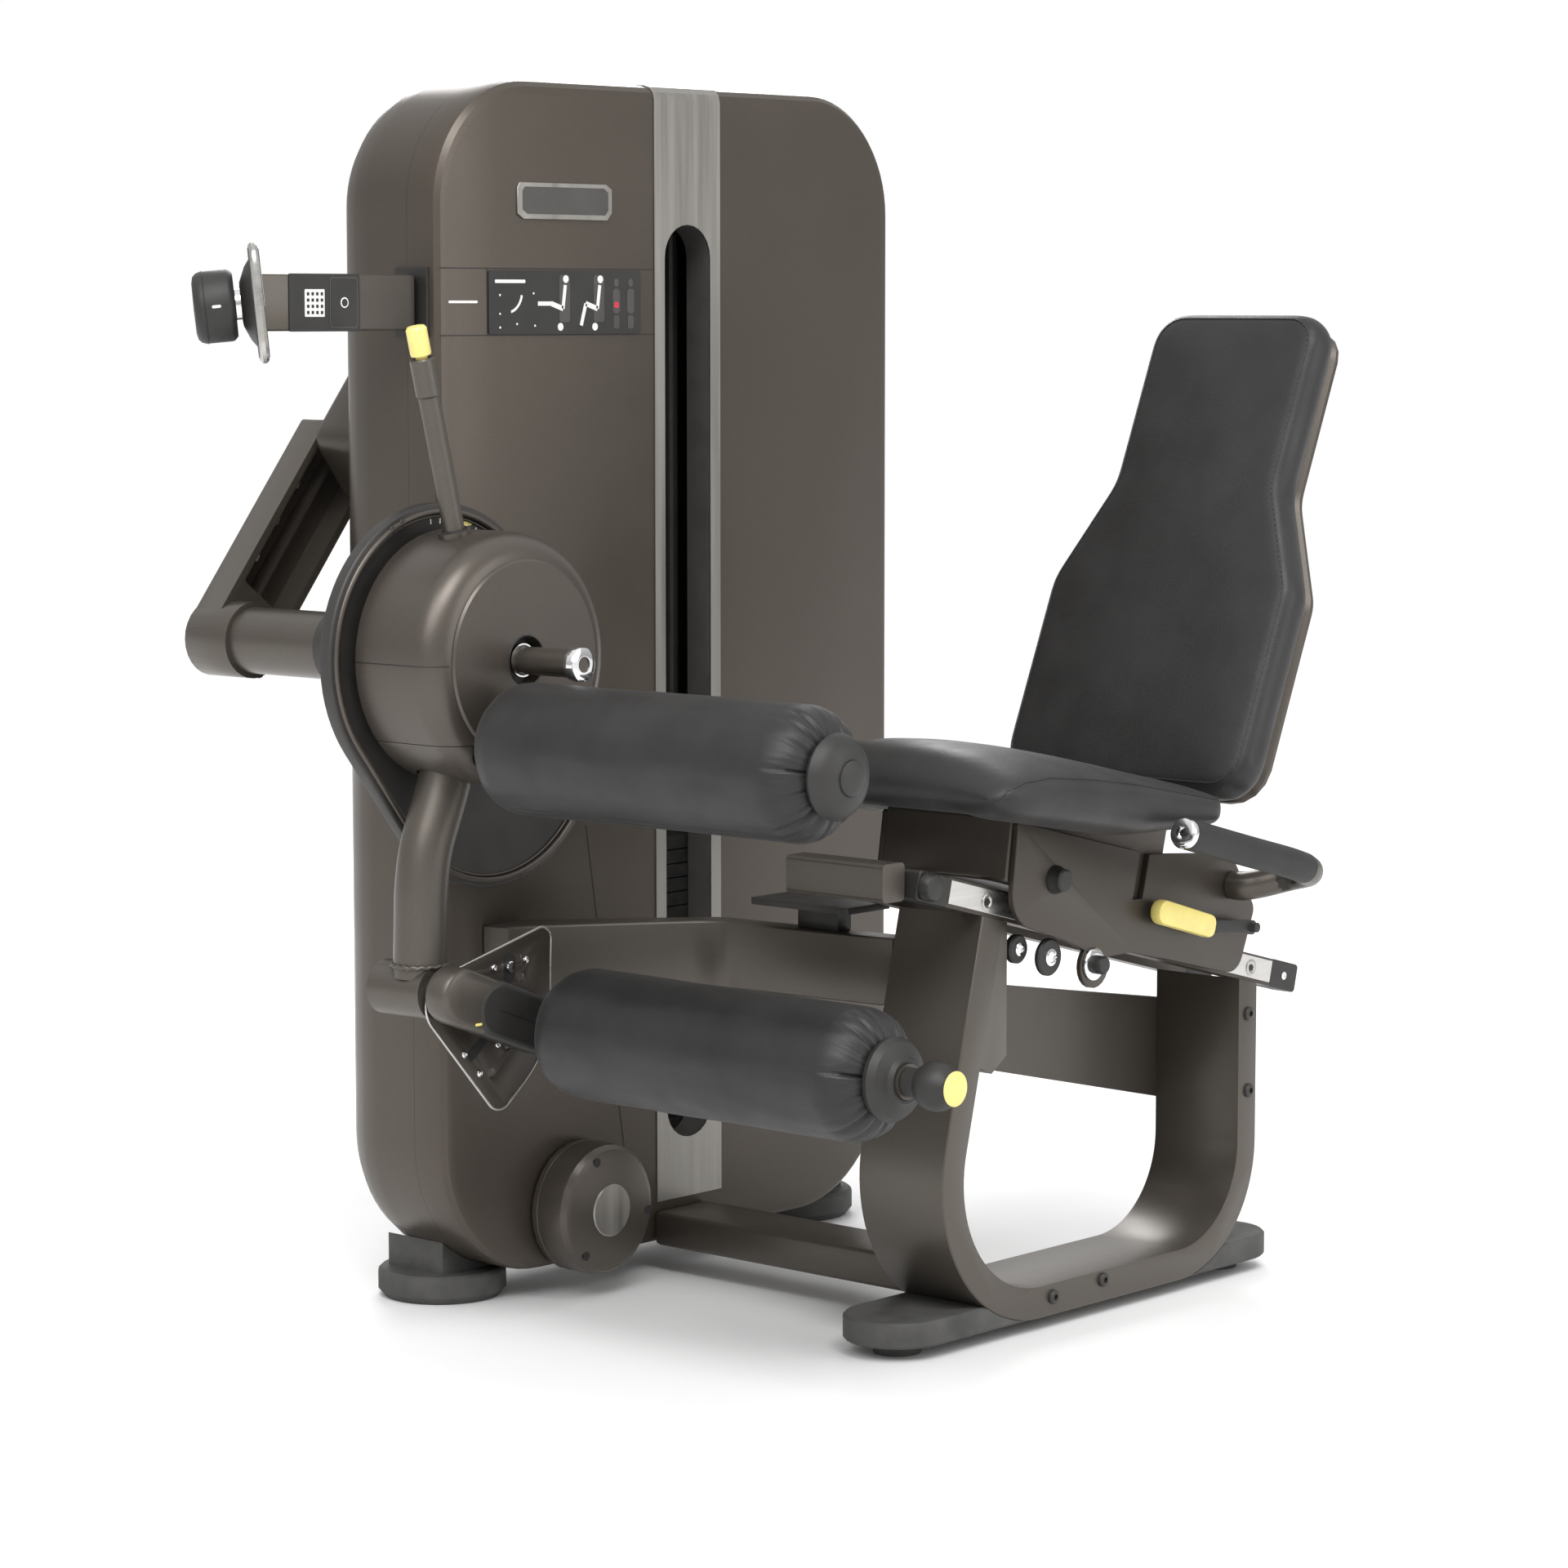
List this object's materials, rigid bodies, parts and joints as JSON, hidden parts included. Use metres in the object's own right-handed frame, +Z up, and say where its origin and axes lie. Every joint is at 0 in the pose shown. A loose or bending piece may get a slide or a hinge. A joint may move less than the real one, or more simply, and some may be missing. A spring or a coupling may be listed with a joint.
{
  "type": "seated leg curl machine",
  "caption": "Seated leg curl with a weight-stack tower, a swinging roller lever with counterweight, and a padded seat carriage sliding on inclined rails.",
  "frame": {"origin": "middle of the footprint's bounding box, on the floor", "axes": "+Z up, +X from the display and lever side towards the backrest, +Y from the seat towards the tower's back and the counterweight; the user faces -X"},
  "size_m": [1.2828, 1.127, 1.4616],
  "materials": {
    "bronze_paint": "satin metallic taupe",
    "bronze_cover": "satin metallic taupe lacquer on moulded covers",
    "silver_strip": "satin",
    "bright_steel": "brushed",
    "dark_paint": "satin black",
    "black_plastic": "fine grain",
    "rubber": "matte",
    "leather": "fine grain synthetic leather over foam",
    "yellow_plastic": "satin",
    "cast_iron": "black enamel",
    "belt": "ribbed"
  },
  "bodies": {
    "root": {"tower_front_shell": "bronze_cover", "tower_rear_shell": "bronze_cover", "trim_strip": "silver_strip", "instruction_placard": "black_plastic", "stack_frame": "bright_steel", "resting_plates": "cast_iron", "stack_belt": "belt", "tower_foot_left": "rubber", "tower_foot_right": "rubber", "pulley_cover": "bronze_cover", "display_socket": "black_plastic", "bearing_housing": "dark_paint", "curved_beam": "bronze_paint", "base_beam": "bronze_paint", "seat_frame": "bronze_paint", "cross_panel": "bronze_paint", "seat_foot_front": "rubber", "seat_foot_rear": "rubber", "rail_near": "bright_steel", "rail_far": "bright_steel", "front_cross_tube": "bronze_paint", "support_bracket": "dark_paint"},
    "cam": {"cam_plate": "dark_paint"},
    "lever": {"hub_drum": "bronze_cover", "hub_lower_cover": "bronze_cover", "hub_front_cover": "bronze_cover", "hub_handle": "bronze_paint", "selector_rod": "bronze_paint", "lever_tube": "bronze_paint", "index_plate": "bright_steel", "counterweight_shaft": "bronze_paint", "counterweight_arm": "bronze_paint", "counterweight_block": "bronze_paint", "tibia_tube": "bronze_paint"},
    "selector": {"selector_button": "yellow_plastic"},
    "tibia_roller": {"tibia_pad": "leather", "tibia_cap": "black_plastic"},
    "crank": {"ankle_crank": "bronze_paint", "ankle_tube": "bronze_paint"},
    "ankle_roller": {"ankle_pad": "leather", "ankle_flange": "black_plastic"},
    "pull_knob": {"ankle_knob": "black_plastic"},
    "lifted_stack": {"lifted_plates": "cast_iron"},
    "pin": {"selector_pin": "yellow_plastic"},
    "belt_pulley": {"top_pulley": "black_plastic"},
    "carriage": {"carriage_plate_near": "dark_paint", "carriage_plate_far": "dark_paint", "seat_base": "bronze_cover", "seat_cushion": "leather", "back_cushion": "leather", "back_shell": "bronze_cover", "back_support": "dark_paint", "handle_near": "black_plastic", "handle_far": "black_plastic"},
    "release": {"release_lever": "black_plastic", "release_paddle": "yellow_plastic"},
    "display_head": {"display_arm": "bronze_paint", "display_bezel": "bright_steel"},
    "dial": {"display_knob": "black_plastic"}
  },
  "joints": [
    {"name": "cam_turn", "type": "hinge", "parent": "root", "child": "cam", "pos_m": [-0.37215, 0.1775, 0.797], "axis": [0, -1, 0], "range_deg": [0, 24]},
    {"name": "start_setting", "type": "hinge", "parent": "cam", "child": "lever", "pos_m": [-0.37215, 0.0985, 0.797], "axis": [0, -1, 0], "range_deg": [-80, 0]},
    {"name": "selector_press", "type": "slide", "parent": "lever", "child": "selector", "axis": [0.2419, 0, -0.9703], "range_m": [0, 0.003], "stiffness_N_per_m": 500},
    {"name": "tibia_spin", "type": "hinge", "parent": "lever", "child": "tibia_roller", "pos_m": [-0.42115, -0.2315, 0.704], "axis": [0, 1, 0], "continuous": true},
    {"name": "ankle_adjust", "type": "hinge", "parent": "lever", "child": "crank", "pos_m": [-0.45915, 0.1185, 0.421], "axis": [0, -1, 0], "range_deg": [-30, 10]},
    {"name": "ankle_spin", "type": "hinge", "parent": "crank", "child": "ankle_roller", "pos_m": [-0.33015, -0.2315, 0.371], "axis": [0, 1, 0], "continuous": true},
    {"name": "knob_pull", "type": "slide", "parent": "crank", "child": "pull_knob", "axis": [0, -1, 0], "range_m": [0, 0.01], "stiffness_N_per_m": 800},
    {"name": "stack_lift", "type": "slide", "parent": "root", "child": "lifted_stack", "axis": [0, 0, 1], "range_m": [0, 0.075], "deforming": ["stack_belt"]},
    {"name": "pin_pull", "type": "slide", "parent": "lifted_stack", "child": "pin", "axis": [0, -1, 0], "range_m": [0, 0.045]},
    {"name": "pulley_turn", "type": "hinge", "parent": "root", "child": "belt_pulley", "pos_m": [0.09785, 0.3503, 1.335], "axis": [-1, 0, 0], "range_deg": [0, 90]},
    {"name": "carriage_slide", "type": "slide", "parent": "root", "child": "carriage", "axis": [0.9681, 0, -0.2504], "range_m": [-0.1, 0.05]},
    {"name": "release_lift", "type": "hinge", "parent": "carriage", "child": "release", "pos_m": [0.45415, -0.3815, 0.44492], "axis": [0, 1, 0], "range_deg": [0, 10], "stiffness_Nm_per_rad": 1},
    {"name": "display_swivel", "type": "hinge", "parent": "root", "child": "display_head", "pos_m": [-0.35115, 0.2585, 1.199], "axis": [0, 0, 1], "range_deg": [-45, 15]},
    {"name": "dial_turn", "type": "hinge", "parent": "display_head", "child": "dial", "pos_m": [-0.56515, 0.2585, 1.199], "axis": [-0.7512, 0.653, -0.0958], "range_deg": [-135, 135]}
  ],
  "couplings": [
    {"joint": "stack_lift", "follows": "cam_turn", "m_per_rad": 0.167},
    {"joint": "pulley_turn", "follows": "cam_turn", "ratio": 3.5914}
  ]
}
